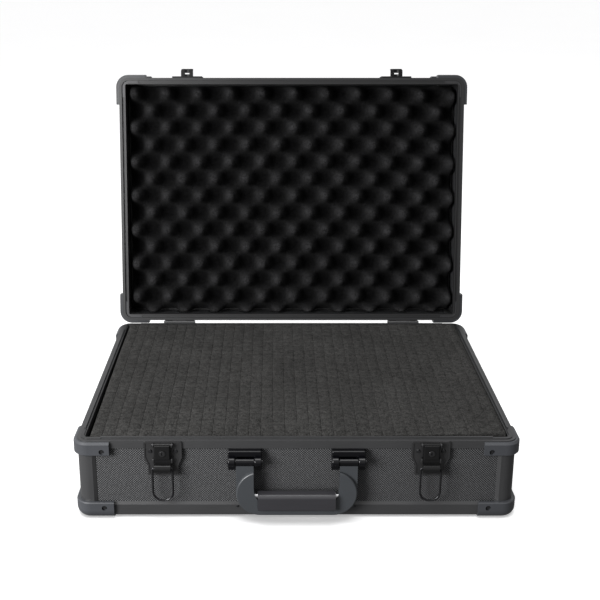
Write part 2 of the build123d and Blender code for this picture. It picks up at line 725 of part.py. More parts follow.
# ---------------------------------------------------------------- handle
def bracket_knuckle(x, panel):
    """One knuckle for a handle pin, standing out from the panel, with rounded ends."""
    with BuildPart() as knuckle:
        with BuildSketch(across(x)):
            with Locations((HANDLE_Y, HANDLE_Z)):
                Circle(KNUCKLE_R)
            with Locations(((HANDLE_Y + panel) / 2, HANDLE_Z)):
                Rectangle(panel - HANDLE_Y, 2 * KNUCKLE_R)
        extrude(amount=KNUCKLE_W / 2, both=True)
        fillet(knuckle.faces().sort_by(Axis.X)[0].edges(), KNUCKLE_ROUND)
        fillet(knuckle.faces().sort_by(Axis.X)[-1].edges(), KNUCKLE_ROUND)
    return knuckle.part


def handle_bracket(side, x):
    """Bracket on the front panel: base, top bar, two knuckles and their feet."""
    panel = -FRAME_Y + WALL
    face = Plane((x, panel, 0), x_dir=(1, 0, 0), z_dir=(0, -1, 0))
    height = BRACKET_HIGH - BRACKET_LOW
    knuckle_x = (BRACKET_W - KNUCKLE_W) / 2
    with BuildPart() as bracket:
        with BuildSketch(face):
            with Locations((0, BRACKET_LOW + height / 2)):
                RectangleRounded(BRACKET_W, height, PLATE_CORNER_R)
        extrude(amount=BRACKET_T)
        with BuildSketch(face):
            with Locations((0, BRACKET_HIGH - BAR_H / 2)):
                RectangleRounded(BRACKET_W, BAR_H, PLATE_CORNER_R)
        extrude(amount=BAR_OUT)
        fillet(bracket.faces().sort_by(Axis.Y)[0].edges(), PLATE_CORNER_R)
        for middle in (-knuckle_x, knuckle_x):
            add(bracket_knuckle(x + middle, panel))
        with BuildSketch(face):
            with Locations((-knuckle_x, BRACKET_LOW + FOOT_TAB_H / 2)):
                RectangleRounded(KNUCKLE_W, FOOT_TAB_H, PLATE_CORNER_R)
            with Locations((knuckle_x, BRACKET_LOW + FOOT_TAB_H / 2)):
                RectangleRounded(KNUCKLE_W, FOOT_TAB_H, PLATE_CORNER_R)
        extrude(amount=FOOT_TAB_OUT)
        with BuildSketch(across(x)):
            with Locations((HANDLE_Y, HANDLE_Z)):
                Circle(HANDLE_PIN_R + FIT)
        extrude(amount=BRACKET_W, both=True, mode=Mode.SUBTRACT)
    write(bracket, f"handle_bracket_{side}")


def handle_pins():
    """Pins of both handle brackets, headed outside the knuckles."""
    with BuildPart() as pins:
        for x in (-HANDLE_X, HANDLE_X):
            with BuildSketch(across(x)):
                with Locations((HANDLE_Y, HANDLE_Z)):
                    Circle(HANDLE_PIN_R)
            extrude(amount=BRACKET_W / 2, both=True)
            for head_x, way in ((x + BRACKET_W / 2, 1), (x - BRACKET_W / 2, -1)):
                with BuildSketch(across(head_x)):
                    with Locations((HANDLE_Y, HANDLE_Z)):
                        Circle(HANDLE_PIN_HEAD_R)
                extrude(amount=way * PIN_HEAD_T)
    write(pins, "handle_pins")


def arm_places(z):
    """Centres of both handle arms at one height."""
    return ((-HANDLE_X, z), (HANDLE_X, z))


def handle_frame():
    """Handle's frame: thick rail with round shoulders, and thin arms up to the barrels."""
    back = HANDLE_Y + ARM_T / 2
    face = Plane((0, back, 0), x_dir=(1, 0, 0), z_dir=(0, -1, 0))
    disc_x = HANDLE_HALF_W - HANDLE_DISC_R
    disc_z = HANDLE_LOW + HANDLE_DISC_R
    opening = HANDLE_HALF_W - ARM_W
    arm_top = HANDLE_Z - ARM_BARREL_R
    with BuildPart() as frame:
        with BuildSketch(face):
            with Locations((-disc_x, disc_z), (disc_x, disc_z)):
                Circle(HANDLE_DISC_R)
            with Locations((0, HANDLE_LOW + HANDLE_DISC_R / 2)):
                Rectangle(2 * disc_x, HANDLE_DISC_R)
        extrude(amount=HANDLE_T)
        fillet(frame.faces().sort_by(Axis.Y)[0].edges(), HANDLE_ROUND)
        with BuildSketch(face):
            with Locations(*arm_places((disc_z + arm_top) / 2)):
                Rectangle(ARM_W, arm_top - disc_z)
        extrude(amount=ARM_T)
        with BuildSketch(face) as gap:
            with Locations((0, RAIL_TOP + HANDLE_Z / 2)):
                Rectangle(2 * opening, HANDLE_Z)
            fillet(gap.vertices().group_by(Axis.Y)[0], OPENING_R)
            with Locations((0, RAIL_TOP + OPENING_R / 2)):
                Rectangle(2 * (GRIP_HALF_W + GRIP_GAP), OPENING_R)
        extrude(amount=HANDLE_T, mode=Mode.SUBTRACT)
        with BuildSketch(across(0)):
            with Locations((ROD_Y, ROD_Z)):
                Circle(ROD_R)
        extrude(amount=opening + ROD_SEAT, both=True, mode=Mode.SUBTRACT)
    write(frame, "handle_frame")


def handle_barrels():
    """Barrels that carry the handle's arms on the bracket pins."""
    with BuildPart() as barrels:
        for x in (-HANDLE_X, HANDLE_X):
            with BuildSketch(across(x)):
                with Locations((HANDLE_Y, HANDLE_Z)):
                    Circle(ARM_BARREL_R)
                with Locations((HANDLE_Y, HANDLE_Z - ARM_BARREL_R / 2)):
                    Rectangle(ARM_T, ARM_BARREL_R)
                with Locations((HANDLE_Y, HANDLE_Z)):
                    Circle(HANDLE_PIN_R + FIT, mode=Mode.SUBTRACT)
            extrude(amount=ARM_BARREL_W / 2, both=True)
    write(barrels, "handle_barrels")


def handle_rod():
    """Steel rod through the grip, its ends seated in the handle's frame."""
    with BuildPart() as rod:
        with BuildSketch(across(0)):
            with Locations((ROD_Y, ROD_Z)):
                Circle(ROD_R)
        extrude(amount=HANDLE_HALF_W - ARM_W + ROD_SEAT, both=True)
    write(rod, "handle_rod")


def handle_grip():
    """Rounded block that the hand holds, moulded round the rod."""
    with BuildPart() as grip:
        with BuildSketch(across(0)) as section:
            with Locations(((GRIP_FRONT + GRIP_BACK) / 2, (GRIP_LOW + GRIP_HIGH) / 2)):
                Rectangle(GRIP_BACK - GRIP_FRONT, GRIP_HIGH - GRIP_LOW)
            fillet(section.vertices().group_by(Axis.Y)[-1], GRIP_TOP_R)
            fillet(section.vertices().group_by(Axis.Y)[0], GRIP_LOW_R)
        extrude(amount=GRIP_HALF_W, both=True)
        with BuildSketch(across(0)):
            with Locations((ROD_Y, ROD_Z)):
                Circle(ROD_R)
        extrude(amount=GRIP_HALF_W, both=True, mode=Mode.SUBTRACT)
    write(grip, "handle_grip")


# ---------------------------------------------------------------- hinges
def hinge_leaves(half, name):
    """Both hinges' leaves of one half: outer knuckles on the base, the middle one on the lid."""
    rim, _, way = HALVES[half]
    outer_w = (HINGE_W - HINGE_KNUCKLE_W) / 2 - KNUCKLE_GAP
    spans = {"base": (-1, 1), "lid": (0,)}[half]
    knuckle_w = HINGE_KNUCKLE_W if half == "lid" else outer_w
    clear = HINGE_R + 2 * KNUCKLE_GAP
    far = rim + way * HINGE_LEAF_H
    near = HINGE_Z + way * clear
    with BuildPart() as leaves:
        for x in (-HINGE_X, HINGE_X):
            with BuildSketch(Plane((x, FRAME_Y, 0), x_dir=(-1, 0, 0), z_dir=(0, 1, 0))):
                with Locations((0, (far + near) / 2)):
                    Rectangle(HINGE_W, abs(far - near))
                with Locations((-HINGE_RIVET_X, rim + way * RIVET_LINE)):
                    Circle(RIVET_HOLE_R, mode=Mode.SUBTRACT)
                with Locations((HINGE_RIVET_X, rim + way * RIVET_LINE)):
                    Circle(RIVET_HOLE_R, mode=Mode.SUBTRACT)
            extrude(amount=HINGE_LEAF_T)
            for span in spans:
                middle = x + span * (HINGE_W - knuckle_w) / 2
                with BuildSketch(across(middle)):
                    with Locations((FRAME_Y + HINGE_LEAF_T / 2, HINGE_Z + way * clear / 2)):
                        Rectangle(HINGE_LEAF_T, clear)
                    with Locations((HINGE_Y, HINGE_Z)):
                        Circle(HINGE_R)
                        Circle(HINGE_PIN_R + FIT, mode=Mode.SUBTRACT)
                extrude(amount=knuckle_w / 2, both=True)
    write(leaves, name)


def hinge_pins():
    """Pins of both hinges, headed at their ends."""
    with BuildPart() as pins:
        for x in (-HINGE_X, HINGE_X):
            with BuildSketch(across(x)):
                with Locations((HINGE_Y, HINGE_Z)):
                    Circle(HINGE_PIN_R)
            extrude(amount=HINGE_W / 2, both=True)
            for head_x, way in ((x + HINGE_W / 2, 1), (x - HINGE_W / 2, -1)):
                with BuildSketch(across(head_x)):
                    with Locations((HINGE_Y, HINGE_Z)):
                        Circle(HINGE_R - KNUCKLE_GAP)
                extrude(amount=way * PIN_HEAD_T)
    write(pins, "hinge_pins")


# ---------------------------------------------------------------- the whole case
for side in SIDES:
    base_rim(side)
    lid_rim(side)
    for half in HALVES:
        edge(side, half)
        side_panel(side, half)

for half in HALVES:
    corner_posts(half)
    rim_corners(half)
    rim_joiners(half)
    rivets(half)

end_corners("base", "base_foot_corners")
end_corners("lid", "lid_cap_corners")
flat_panel("base", "base_bottom_panel")
flat_panel("lid", "lid_top_panel")

foam_floor = FOOT_DROP + EDGE_SEAT
foam_block("base_foam_pad", foam_floor, foam_floor + FOAM_PAD_H)
foam_block("base_foam", foam_floor + FOAM_PAD_H, BASE_RIM)
foam_block("lid_foam", LID_RIM + LID_FOAM_DROP, HEIGHT - FOOT_DROP - EDGE_SEAT)

for side, sign in (("left", -1), ("right", 1)):
    latch_plate(side, sign * LATCH_X)
    latch_lever(side, sign * LATCH_X)
    lock_plug(side, sign * LATCH_X)
    latch_loop(side, sign * LATCH_X)
    latch_catch(side, sign * LATCH_X)
    handle_bracket(side, sign * HANDLE_X)

latch_pins()
handle_pins()
handle_frame()
handle_barrels()
handle_rod()
handle_grip()
hinge_leaves("base", "hinge_base_leaves")
hinge_leaves("lid", "hinge_lid_leaves")
hinge_pins()
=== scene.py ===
"""Looks of the foam-lined framed carrying case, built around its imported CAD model.

Everything is in metres in the model's own frame: X to the right, Y to the back, Z up, with the
origin on the floor under the middle of the base. Pieces of the lid are worked out with the lid
shut, where they are square to the axes, and are then turned open about the hinge.
"""

import json
import math

import bmesh
import bpy
from mathutils import Matrix, Vector, noise


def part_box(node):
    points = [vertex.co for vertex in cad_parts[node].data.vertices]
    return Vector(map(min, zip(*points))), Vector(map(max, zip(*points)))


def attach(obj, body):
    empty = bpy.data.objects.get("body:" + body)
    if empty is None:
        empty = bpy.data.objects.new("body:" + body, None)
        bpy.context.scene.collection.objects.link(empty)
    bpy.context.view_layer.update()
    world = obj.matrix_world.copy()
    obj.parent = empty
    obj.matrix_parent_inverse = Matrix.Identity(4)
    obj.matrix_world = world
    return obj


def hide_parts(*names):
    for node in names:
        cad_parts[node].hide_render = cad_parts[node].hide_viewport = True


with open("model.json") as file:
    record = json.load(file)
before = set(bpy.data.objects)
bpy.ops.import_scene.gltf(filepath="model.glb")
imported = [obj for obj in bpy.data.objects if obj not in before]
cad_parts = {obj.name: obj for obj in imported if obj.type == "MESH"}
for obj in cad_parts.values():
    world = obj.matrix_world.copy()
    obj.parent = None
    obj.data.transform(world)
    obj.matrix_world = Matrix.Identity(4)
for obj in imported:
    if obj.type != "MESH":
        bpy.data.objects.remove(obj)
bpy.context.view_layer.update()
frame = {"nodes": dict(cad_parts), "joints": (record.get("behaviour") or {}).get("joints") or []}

MM = 0.001
X_AXIS = Vector((1, 0, 0))
Y_AXIS = Vector((0, 1, 0))
Z_AXIS = Vector((0, 0, 1))

# The camera, at the angle from which the case is seen
CAMERA_AT = (-0.0232, -1.0397, 0.5687)
CAMERA_DOWN = math.radians(16.6)
CAMERA_LENS = 57.63
CAMERA_SHIFT = (0.0433, -0.1063)

# Light
FLOOR_GLOW = 0.36
SKY_LOW, SKY_HIGH = 0.17, 0.93
SKY_BRIGHTEST = Vector((-0.45, 0.1, 0.88))
KEY_AT, KEY_SIZE, KEY_POWER = (-0.86, -0.92, 0.5), 0.6, 28.0
TOP_AT, TOP_SIZE, TOP_POWER = (-0.35, 0.0, 2.2), 1.5, 25.0
WASH_AT, WASH_SIZE, WASH_POWER = (0.0, -1.0, 2.0), 1.0, 22.0
LIT_MIDDLE = (0, 0, 0.1)  # where the key and the top light point
WASH_MIDDLE = (0, -0.4, 0)  # the floor in front of the case

FLOOR_HALF = 60.0  # half the floor's width
FLOOR_CLOUD = 0.4

# Coated and moulded surfaces
TONE_VARIETY = 0.18  # how far the tone strays from the colour, either way
CLOUD_SIZE = 45 * MM
STREAK = 0.96  # share of the grain's change that a streak takes out along the bar
LID_BAR_PAINTED_SHADE = 0.5  # painted shade: the lid's bars and corners are painted darker than the base's, for the lesser light on them, not for another finish
LID_CORNER_PAINTED_SHADE = 0.6
CORNER_COLOUR = (0.039, 0.041, 0.046)
BAR_COLOUR = (0.036, 0.0362, 0.0375)

# The boards' skin: its diamonds, the painted shade between them and the painted highlight on
# them
DIAMOND_PITCH = 2.6 * MM
DIAMOND_HEIGHT = 0.5 * MM
BOARD_SHADED_GROUND = (0.001, 0.001, 0.0011)
BOARD_FACE = (0.02, 0.0203, 0.0217)

# Open-cell foam
CELL_SIZE = 1.1 * MM
FLUFF_SIZE = 2.2 * MM
CLUMP_SIZE = 4.5 * MM
FOAM_CLOUD = 60 * MM
HOLLOW_LIGHT = 0.2  # share of the light left at a hollow's bottom, before any dimming

# Scored foam in the base
PLUCK_CELL = 12.7 * MM
SLIT, SLIT_DEPTH = 0.2 * MM, 0.8 * MM
SHOULDER, SHOULDER_DROP = 0.7 * MM, 0.2 * MM
FOAM_GAP_LEFT, FOAM_GAP_FRONT = 2.2 * MM, 2.4 * MM
FOAM_SUNK = 1.2 * MM  # at the front left, below the CAD block's top
FOAM_RISE = 4.8 * MM  # from there to the back and the right

# Egg-crate foam in the lid
CRATE_ACROSS = 42.0 * MM
CRATE_ALONG = 45.4 * MM
CRATE_PHASE = (2.6 * MM, -5.0 * MM)
CRATE_DEPTH = 25.0 * MM
SAG_START, SAG_RUN, SAG_DEPTH = 50 * MM, 160 * MM, 4.5 * MM


# ---------------------------------------------------------------------------
# The lid's turn from shut to open


def lid_turn():
    """The turn that takes the lid from shut to its place at rest, open."""
    hinge = next(joint for joint in frame["joints"] if joint["name"] == "lid_hinge")
    at = Matrix.Translation(Vector(hinge["pos_m"]))
    shut_angle = math.radians(hinge["range_deg"][1])
    return at @ Matrix.Rotation(-shut_angle, 4, Vector(hinge["axis"])) @ at.inverted()


LID_OPEN = lid_turn()


def shut_box(node):
    """(lowest, highest) corner of a lid node as it is with the lid shut."""
    shut = LID_OPEN.inverted()
    corners = [shut @ vertex.co for vertex in frame["nodes"][node].data.vertices]
    low = Vector(min(corner[k] for corner in corners) for k in range(3))
    high = Vector(max(corner[k] for corner in corners) for k in range(3))
    return low, high


# ---------------------------------------------------------------------------
# Shader helpers


def new_material(name):
    """A material with its node tree and its shader."""
    made = bpy.data.materials.new(name)
    made.use_nodes = True
    return made, made.node_tree, made.node_tree.nodes["Principled BSDF"]


def node(tree, kind, sockets=None, **settings):
    """A shader node, with its settings set and each named socket linked or set."""
    made = tree.nodes.new("ShaderNode" + kind)
    for name, value in settings.items():
        setattr(made, name, value)
    for name, value in (sockets or {}).items():
        if isinstance(value, bpy.types.NodeSocket):
            tree.links.new(value, made.inputs[name])
        else:
            made.inputs[name].default_value = value
    return made


def place(tree):
    """The surface point in the model's frame, which stays with the piece as it moves."""
    return node(tree, "TexCoord").outputs["Object"]


def along(tree, direction):
    """How far the surface point lies along a direction."""
    measured = node(tree, "VectorMath", {0: place(tree), 1: direction}, operation="DOT_PRODUCT")
    return measured.outputs["Value"]


def calculate(tree, operation, first, second=0.0, third=0.0):
    """One step of arithmetic on values."""
    return node(tree, "Math", {0: first, 1: second, 2: third}, operation=operation).outputs[0]


def grain(tree, size, detail=2.0, where=None):
    """Cloudy variation, 0 to 1, with features of about that size in metres."""
    made = node(
        tree,
        "TexNoise",
        {"Vector": where or place(tree), "Scale": 1 / size, "Detail": detail},
    )
    return made.outputs[0]


def spread(tree, value, low, high, to_low, to_high):
    """The value's range from low to high stretched to a new range."""
    made = node(
        tree,
        "MapRange",
        {"Value": value, "From Min": low, "From Max": high, "To Min": to_low, "To Max": to_high},
    )
    return made.outputs[0]


def tones(tree, value, *stops):
    """A colour for the value, from (place, grey or colour) stops."""
    made = node(tree, "ValToRGB", {"Fac": value})
    ramp = made.color_ramp
    while len(ramp.elements) < len(stops):
        ramp.elements.new(0.5)
    for element, (at, colour) in zip(ramp.elements, stops):
        element.position = at
        element.color = (*colour, 1.0)
    return made.outputs["Color"]


def shade(colour, factor):
    """The colour made lighter or darker."""
    return tuple(channel * factor for channel in colour)


def relief(tree, shader, height, depth, strength=1.0):
    """Bump on the shader from a height of 0 to 1, that many metres deep."""
    made = node(tree, "Bump", {"Height": height, "Distance": depth, "Strength": strength})
    tree.links.new(made.outputs[0], shader.inputs["Normal"])


# ---------------------------------------------------------------------------
# Materials


def satin(name, colour, roughness, grain_size, grain_depth, metal=0.0, streak=None, shine=0.5):
    """A coated or moulded surface: fine grain, cloudy tone, and gloss that varies a little.
    With a streak direction, the grain is drawn out along it, as on an extruded bar."""
    made, tree, shader = new_material(name)
    where = place(tree)
    if streak is not None:
        pulled = calculate(tree, "MULTIPLY", along(tree, streak), -STREAK)
        offset = node(tree, "VectorMath", {0: streak, "Scale": pulled}, operation="SCALE")
        where = node(
            tree,
            "VectorMath",
            {0: where, 1: offset.outputs["Vector"]},
            operation="ADD",
        ).outputs["Vector"]
    fine = grain(tree, grain_size, 3.0, where)
    cloud = grain(tree, CLOUD_SIZE)
    mixed = calculate(tree, "MULTIPLY_ADD", cloud, 0.5, calculate(tree, "MULTIPLY", fine, 0.5))
    toned = tones(
        tree,
        mixed,
        (0.3, shade(colour, 1 - TONE_VARIETY)),
        (0.7, shade(colour, 1 + TONE_VARIETY)),
    )
    tree.links.new(toned, shader.inputs["Base Color"])
    gloss = spread(tree, mixed, 0.3, 0.7, roughness * 1.15, roughness * 0.87)
    tree.links.new(gloss, shader.inputs["Roughness"])
    shader.inputs["Metallic"].default_value = metal
    shader.inputs["Specular IOR Level"].default_value = shine
    relief(tree, shader, fine, grain_depth)
    return made


def embossed_board(name, across, up):
    """The boards' skin: rows of fine raised diamonds, corner to corner, with painted shade
    darkening the ground between them and painted highlight lightening their tops.
    """
    made, tree, shader = new_material(name)
    first = calculate(tree, "MULTIPLY", along(tree, across), math.pi / DIAMOND_PITCH)
    second = calculate(tree, "MULTIPLY", along(tree, up), math.pi / DIAMOND_PITCH)
    rising = calculate(tree, "SINE", calculate(tree, "ADD", first, second))
    falling = calculate(tree, "SINE", calculate(tree, "SUBTRACT", first, second))
    diamonds = calculate(
        tree,
        "MULTIPLY",
        calculate(tree, "ABSOLUTE", rising),
        calculate(tree, "ABSOLUTE", falling),
    )
    fine = grain(tree, 1.2 * MM)
    lift = calculate(tree, "MULTIPLY_ADD", fine, 0.2, diamonds)
    # The tone follows the diamonds' height: painted shade on the ground between them, painted
    # highlight on their tops.
    toned = tones(
        tree,
        lift,
        (0.38, BOARD_SHADED_GROUND),
        (0.6, BOARD_FACE),
        (1.0, shade(BOARD_FACE, 5.0)),
    )
    tree.links.new(toned, shader.inputs["Base Color"])
    gloss = spread(tree, diamonds, 0.0, 1.0, 0.6, 0.38)
    tree.links.new(gloss, shader.inputs["Roughness"])
    relief(tree, shader, diamonds, DIAMOND_HEIGHT)
    return made


def open_cell(name, colour, depth_axis, surface, depth, dimming=1.0):
    """Open-cell foam: dark pores between fine struts, and less light towards the bottom of
    its hollows, which lie that deep under the surface along the axis."""
    made, tree, shader = new_material(name)
    cells = node(
        tree,
        "TexVoronoi",
        {"Vector": place(tree), "Scale": 1 / CELL_SIZE, "Randomness": 1.0},
    ).outputs["Distance"]
    fluff = calculate(tree, "MULTIPLY", grain(tree, FLUFF_SIZE, 4.0), 0.35)
    cloud = grain(tree, FOAM_CLOUD, 3.0)
    rough = calculate(tree, "MULTIPLY_ADD", grain(tree, CLUMP_SIZE), 0.45, fluff)
    struts = calculate(tree, "MULTIPLY_ADD", cells, 0.6, rough)
    toned = tones(
        tree,
        struts,
        (0.4, shade(colour, 0.3)),
        (0.6, colour),
        (0.85, shade(colour, 2.4)),
    )
    sunk = spread(tree, along(tree, depth_axis), surface, surface - depth, 1.0, HOLLOW_LIGHT)
    dimmed = calculate(tree, "POWER", sunk, dimming)
    level = calculate(tree, "MULTIPLY", dimmed, spread(tree, cloud, 0.3, 0.7, 0.85, 1.15))
    lit = node(
        tree,
        "VectorMath",
        {0: toned, "Scale": level},
        operation="SCALE",
    ).outputs["Vector"]
    tree.links.new(lit, shader.inputs["Base Color"])
    shader.inputs["Roughness"].default_value = 1.0
    shader.inputs["Specular IOR Level"].default_value = 0.03
    shader.inputs["Sheen Weight"].default_value = 0.01
    shader.inputs["Sheen Roughness"].default_value = 0.6
    relief(tree, shader, struts, 0.5 * MM, 0.8)
    return made


# ---------------------------------------------------------------------------
# Foam


def spaced(low, high, step):
    """Places from low to high, both included, about a step apart."""
    count = max(1, round((high - low) / step))
    return [low + (high - low) * k / count for k in range(count + 1)]


def round_over(gap, radius):
    """How far a surface has dropped at that gap from its rounded edge."""
    short = radius - min(max(gap, 0.0), radius)
    return radius - math.sqrt(radius * radius - short * short)


def wander(x, y, size, seed):
    """Smooth, repeatable variation from -1 to 1 with features of that size."""
    return noise.noise(Vector((x / size, y / size, seed)))


def closed_sheet(name, across, along_y, surface, back, levels=4):
    """A solid: a shaped surface over a grid, straight walls and a flat back at a height."""
    mesh = bmesh.new()
    grid = [[mesh.verts.new(surface(x, y)) for x in across] for y in along_y]
    last_row = len(along_y) - 1
    last_column = len(across) - 1
    for j in range(last_row):
        for i in range(last_column):
            mesh.faces.new((grid[j][i], grid[j][i + 1], grid[j + 1][i + 1], grid[j + 1][i]))
    rim = (
        grid[0][:-1]
        + [grid[j][last_column] for j in range(last_row)]
        + grid[last_row][:0:-1]
        + [grid[j][0] for j in range(last_row, 0, -1)]
    )
    ring = rim
    for level in range(1, levels + 1):
        part = level / levels
        lower = [
            mesh.verts.new((top.co.x, top.co.y, top.co.z + (back - top.co.z) * part))
            for top in rim
        ]
        for k in range(len(ring)):
            follow = (k + 1) % len(ring)
            mesh.faces.new((ring[k], lower[k], lower[follow], ring[follow]))
        ring = lower
    mesh.faces.new(ring)
    bmesh.ops.recalc_face_normals(mesh, faces=mesh.faces)
    data = bpy.data.meshes.new(name)
    mesh.to_mesh(data)
    mesh.free()
    for face in data.polygons:
        face.use_smooth = len(face.vertices) == 4
    made = bpy.data.objects.new(name, data)
    bpy.context.scene.collection.objects.link(made)
    return made


def add_soft(made, body, node_name, material):
    """The piece takes its material and stands for its CAD node."""
    made.data.materials.append(material)
    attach(made, body)
    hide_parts(node_name)
    return made


def score_lines(start, cell, count):
    """Grid places across a row of cells: each cell's slits, shoulders and middle."""
    places = [start]
    for k in range(count):
        near = start + k * cell
        far = near + cell
        places += [near + SLIT, near + SHOULDER, near + cell / 2]
        places += [far - SHOULDER, far - SLIT, far]
    return places


def into_cell(value, start, cell, count):
    """(cell number, distance from the nearest score line)."""
    number = min(count - 1, max(0, int((value - start) / cell)))
    inside = value - start - number * cell
    return number, min(inside, cell - inside)


def bend(first, second, own, seeds):
    """Sideways stray of a score line: a long wave, and a short one of its own."""
    long_wave = 0.35 * MM * wander(first, second, 55 * MM, seeds[0])
    return long_wave + 0.12 * MM * wander(first, own, 9 * MM, seeds[1])


def scored_foam():
    """The base's foam: a block scored through from its top into rows of half-inch cells.
    It is cut a little small, and lies to the back and the right, where it stands proud."""
    low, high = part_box("base_foam")
    low += Vector((FOAM_GAP_LEFT, FOAM_GAP_FRONT, 0))
    columns = round((high.x - low.x) / PLUCK_CELL)
    rows = round((high.y - low.y) / PLUCK_CELL)
    cell_x = (high.x - low.x) / columns
    cell_y = (high.y - low.y) / rows

    def rise(x, y):
        """How far the foam's top stands above the CAD block's."""
        backwards = 1.5 * (y - low.y) / (high.y - low.y)
        rightwards = 3.0 * (x - low.x) / (high.x - low.x) - 2.0
        return FOAM_RISE * min(1.0, max(backwards, rightwards)) - FOAM_SUNK

    def surface(x, y):
        column, gap_x = into_cell(x, low.x, cell_x, columns)
        row, gap_y = into_cell(y, low.y, cell_y, rows)
        gap = min(gap_x, gap_y)
        lift = 0.35 * MM * wander(column * 7.31, row * 5.17, 1.0, 2.0)
        z = high.z + rise(x, y) + lift + 0.45 * MM * wander(x, y, 70 * MM, 5.0)
        border = min(x - low.x, high.x - x, y - low.y, high.y - y)
        if border > SLIT and gap < 1e-6:
            z -= SLIT_DEPTH
        elif gap < SHOULDER:
            z -= SHOULDER_DROP * (1 - gap / SHOULDER)
        z -= round_over(border, 1.6 * MM)
        bend_x = bend(y, x, column * 3.7, (11.0, 3.0))
        bend_y = bend(x, y, row * 4.1, (17.0, 7.0))
        return Vector((x + bend_x, y + bend_y, z))

    xs = score_lines(low.x, cell_x, columns)
    ys = score_lines(low.y, cell_y, rows)
    made = closed_sheet("foam_scored_block", xs, ys, surface, low.z)
    colour = (0.0165, 0.0162, 0.0157)
    material = open_cell("scored_foam", colour, Z_AXIS, high.z - 1.5 * MM, 6 * MM)
    return add_soft(made, "base", "base_foam", material)


def flat_pad():
    """The plain layer under the scored block."""
    low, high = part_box("base_foam_pad")

    def surface(x, y):
        border = min(x - low.x, high.x - x, y - low.y, high.y - y)
        z = high.z - 0.15 * MM + 0.12 * MM * wander(x, y, 40 * MM, 23.0)
        return Vector((x, y, z - round_over(border, 1.2 * MM)))

    xs = spaced(low.x, high.x, 6 * MM)
    ys = spaced(low.y, high.y, 6 * MM)
    made = closed_sheet("foam_flat_pad", xs, ys, surface, low.z, levels=3)
    material = open_cell("pad_foam", (0.03, 0.03, 0.03), Z_AXIS, high.z, 12 * MM)
    return add_soft(made, "base", "base_foam_pad", material)


def egg_crate():
    """The lid's foam: staggered rounded peaks with deep hollows between them."""
    low, high = shut_box("lid_foam")

    def sag(x, y):
        """How far the rows droop towards the sheet's right end."""
        sideways = max(0.0, (x - SAG_START) / SAG_RUN) ** 1.5
        return SAG_DEPTH * sideways * (1.0 - 0.35 * (y - low.y) / (high.y - low.y))

    def surface(x, y):
        u = x - CRATE_PHASE[0] + 1.2 * MM * wander(x, y, 80 * MM, 31.0)
        v = y - CRATE_PHASE[1] - sag(x, y) + 1.2 * MM * wander(x, y, 80 * MM, 37.0)
        wave = math.cos(2 * math.pi * u / CRATE_ACROSS) * math.cos(2 * math.pi * v / CRATE_ALONG)
        swell = (0.5 + 0.5 * wave) ** 1.6
        risen = swell * swell * (3 - 2 * swell)
        fall = CRATE_DEPTH * (1 - risen) + 0.5 * MM * wander(x, y, 25 * MM, 41.0)
        border = min(x - low.x, high.x - x, y - low.y, high.y - y)
        z = low.z + 0.6 * MM + max(0.0, fall) + round_over(border, 4.0 * MM)
        return Vector((x, y, z))

    xs = spaced(low.x, high.x, 2.0 * MM)
    ys = spaced(low.y, high.y, 2.0 * MM)
    made = closed_sheet("foam_egg_crate", xs, ys, surface, high.z)
    made.data.transform(LID_OPEN)
    outward = LID_OPEN.to_3x3() @ -Z_AXIS
    face = (LID_OPEN @ Vector((0, 0, low.z))).dot(outward)
    colour = (0.0095, 0.0094, 0.0098)
    material = open_cell("egg_crate_foam", colour, outward, face, 27 * MM, 1.2)
    return add_soft(made, "lid", "lid_foam", material)


# ---------------------------------------------------------------------------
# Finishes on the CAD pieces


def paint(material, *nodes):
    """The material goes on these CAD nodes."""
    for name in nodes:
        data = frame["nodes"][name].data
        for k in range(len(data.materials)):
            data.materials[k] = material


def ease_edges(width, *nodes):
    """Break the sharp edges of these CAD nodes, so that they catch the light."""
    for name in nodes:
        eased = frame["nodes"][name].modifiers.new("eased_edges", "BEVEL")
        eased.width = width
        eased.segments = 2
        eased.limit_method = "ANGLE"
        eased.angle_limit = math.radians(50)
        eased.use_clamp_overlap = True
        eased.harden_normals = True


def turned(half, direction):
    """A direction at rest, from the same direction with the case shut."""
    if half == "lid":
        return LID_OPEN.to_3x3() @ direction
    return direction


def paint_bars(half):
    """Extruded bars, with their grain along each bar."""
    # On the lid the bars take a darker copy of the colour: painted shade.
    colour = shade(BAR_COLOUR, LID_BAR_PAINTED_SHADE) if half == "lid" else BAR_COLOUR
    runs = {
        "across": (X_AXIS, ["rim_front", "rim_back", "edge_front", "edge_back"]),
        "along": (Y_AXIS, ["rim_left", "rim_right", "edge_left", "edge_right"]),
        "upright": (Z_AXIS, ["corner_posts"]),
    }
    for run, (direction, names) in runs.items():
        made = satin(
            f"{half}_bars_{run}",
            colour,
            0.38,
            0.55 * MM,
            0.02 * MM,
            metal=0.2,
            streak=turned(half, direction),
        )
        paint(made, *[f"{half}_{name}" for name in names])
        ease_edges(0.5 * MM, *[f"{half}_{name}" for name in names])


def paint_boards(half):
    """Embossed boards, with the diamonds square to each board."""
    boards = {
        "upright": (X_AXIS, Z_AXIS, ["front_panel", "back_panel"]),
        "side": (Y_AXIS, Z_AXIS, ["left_panel", "right_panel"]),
        "flat": (X_AXIS, Y_AXIS, ["top_panel" if half == "lid" else "bottom_panel"]),
    }
    for board, (across, up, names) in boards.items():
        made = embossed_board(f"{half}_board_{board}", turned(half, across), turned(half, up))
        paint(made, *[f"{half}_{name}" for name in names])


